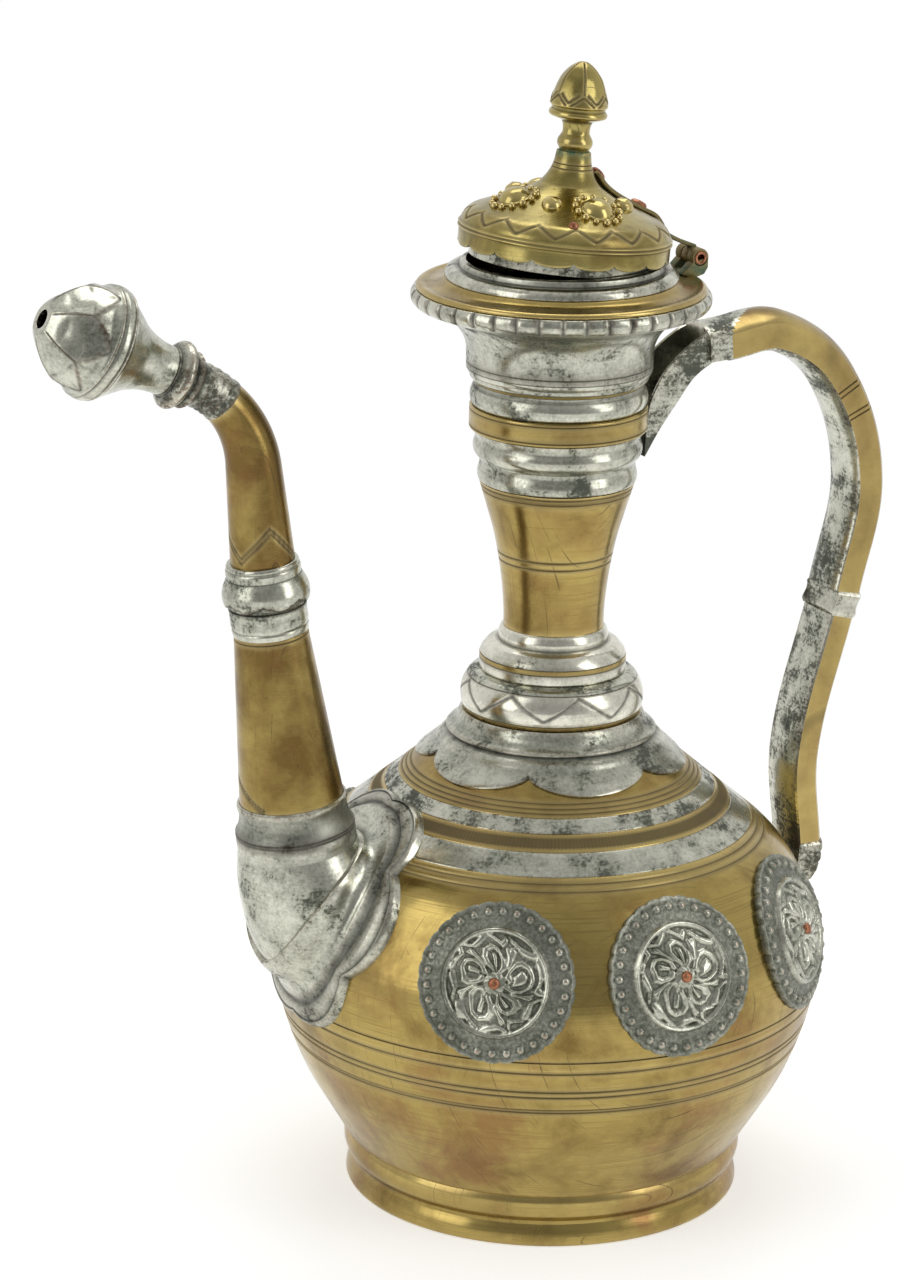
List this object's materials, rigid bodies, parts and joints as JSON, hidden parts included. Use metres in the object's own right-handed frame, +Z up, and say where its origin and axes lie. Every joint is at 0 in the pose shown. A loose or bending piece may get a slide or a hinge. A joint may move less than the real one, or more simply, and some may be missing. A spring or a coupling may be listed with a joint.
{
  "type": "coffee pot",
  "caption": "Tall metal ewer with a round belly, long curved spout, strap handle, flanged mouth and a hinged domed lid with an acorn finial, for brewing and pouring hot drinks.",
  "frame": {"origin": "centre of the foot ring, on the surface that the pot stands on", "axes": "+Z up along the pot's axis, +X towards the handle and the lid's hinge, -X towards the spout"},
  "size_m": [0.2866, 0.1794, 0.3593],
  "materials": {
    "brass": "old yellow brass, hand polished, with fine scratches and darker grooves",
    "tinned_copper": "tinned copper, satin grey, worn to copper on its edges and stained in the hollows",
    "copper": "bare copper, dull, with darker rims"
  },
  "bodies": {
    "pot": {"foot_ring": "brass", "lower_bowl": "brass", "shoulder_shell": "brass", "milled_band": "brass", "shoulder_ring": "brass", "neck_tube": "brass", "neck_brass_band": "brass", "flange_ring": "brass", "spout_lower_tube": "brass", "spout_upper_tube": "brass", "handle_upper_channel": "brass", "handle_lower_channel": "brass", "hinge_leaf": "brass", "medallion_rivets": "copper", "hinge_pin": "copper", "bottom_plate": "tinned_copper", "shoulder_band_lower": "tinned_copper", "shoulder_band_upper": "tinned_copper", "shoulder_collar": "tinned_copper", "zigzag_collar": "tinned_copper", "neck_step_ring": "tinned_copper", "neck_ring_lower": "tinned_copper", "neck_ring_upper": "tinned_copper", "mouth_cup": "tinned_copper", "mouth_collar": "tinned_copper", "spout_escutcheon": "tinned_copper", "spout_boot": "tinned_copper", "spout_knuckle": "tinned_copper", "spout_ferrule": "tinned_copper", "spout_nozzle": "tinned_copper", "handle_bracket": "tinned_copper", "handle_foot": "tinned_copper", "handle_upper_strip": "tinned_copper", "handle_lower_strip": "tinned_copper", "handle_mid_ferrule": "tinned_copper", "medallion_1": "tinned_copper", "medallion_2": "tinned_copper", "medallion_3": "tinned_copper", "medallion_4": "tinned_copper", "medallion_5": "tinned_copper", "medallion_6": "tinned_copper"},
    "lid": {"lid_dome": "brass", "lid_plug": "tinned_copper", "lid_stud": "copper", "lid_flower_bosses": "brass", "lid_small_bosses": "brass", "hinge_strap": "brass", "strap_rivets": "copper", "finial": "brass", "finial_washer": "brass"}
  },
  "joints": [
    {"name": "lid_hinge", "type": "hinge", "parent": "pot", "child": "lid", "pos_m": [0.0453, 0, 0.2968], "axis": [0, 1, 0], "range_deg": [-5.4, 99.6]}
  ]
}
